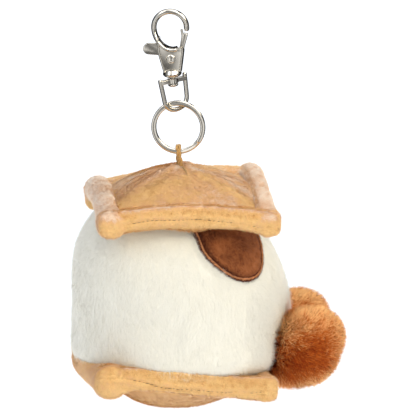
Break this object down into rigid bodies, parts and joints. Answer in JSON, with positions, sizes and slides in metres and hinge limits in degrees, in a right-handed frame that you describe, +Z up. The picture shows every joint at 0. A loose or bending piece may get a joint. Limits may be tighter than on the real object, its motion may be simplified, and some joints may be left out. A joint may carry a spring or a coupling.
{
  "type": "plush s'more bag charm",
  "caption": "Stuffed toy s'more with furry feet that hangs from a cord loop, split ring and swivel snap hook.",
  "frame": {"origin": "centre of the small flat under the bottom cracker on which the toy stands", "axes": "+Z up, +X to the toy's front where its feet point, -Y to its right side"},
  "size_m": [0.1005, 0.0792, 0.151],
  "materials": {
    "white_plush": "soft short-pile plush, cream white",
    "tan_plush": "short-pile plush, golden tan",
    "chocolate_plush": "short-pile plush, chocolate brown, edged with satin stitch",
    "orange_fur": "long-pile plush, orange brown with pale tips",
    "cord": "twisted cord, golden brown",
    "nickel": "bright nickel plating"
  },
  "bodies": {
    "plush": {"marshmallow": "white_plush", "top_cracker_roll_back": "tan_plush", "top_cracker_roll_front": "tan_plush", "top_cracker_roll_right": "tan_plush", "top_cracker_roll_left": "tan_plush", "top_cracker_pad": "tan_plush", "bottom_cracker_roll_back": "tan_plush", "bottom_cracker_roll_front": "tan_plush", "bottom_cracker_roll_right": "tan_plush", "bottom_cracker_roll_left": "tan_plush", "bottom_cracker_pad": "tan_plush", "chocolate_right": "chocolate_plush", "chocolate_left": "chocolate_plush", "foot_right": "orange_fur", "foot_left": "orange_fur", "hanging_loop": "cord", "split_ring": "nickel", "swivel_shackle": "nickel"},
    "hook": {"hook_frame": "nickel", "swivel_rivet": "nickel", "gate_rivet": "nickel"},
    "gate": {"gate_lever": "nickel"}
  },
  "joints": [
    {"name": "swivel", "type": "hinge", "parent": "plush", "child": "hook", "pos_m": [-0.00138, 0, 0.12356], "axis": [-0.0854, 0, 0.9963], "continuous": true},
    {"name": "gate", "type": "hinge", "parent": "hook", "child": "gate", "pos_m": [-0.00197, -0.00004, 0.13214], "axis": [-0.241, -0.9703, -0.0207], "range_deg": [0, 24], "stiffness_Nm_per_rad": 0.02, "springref_deg": -11.46}
  ]
}
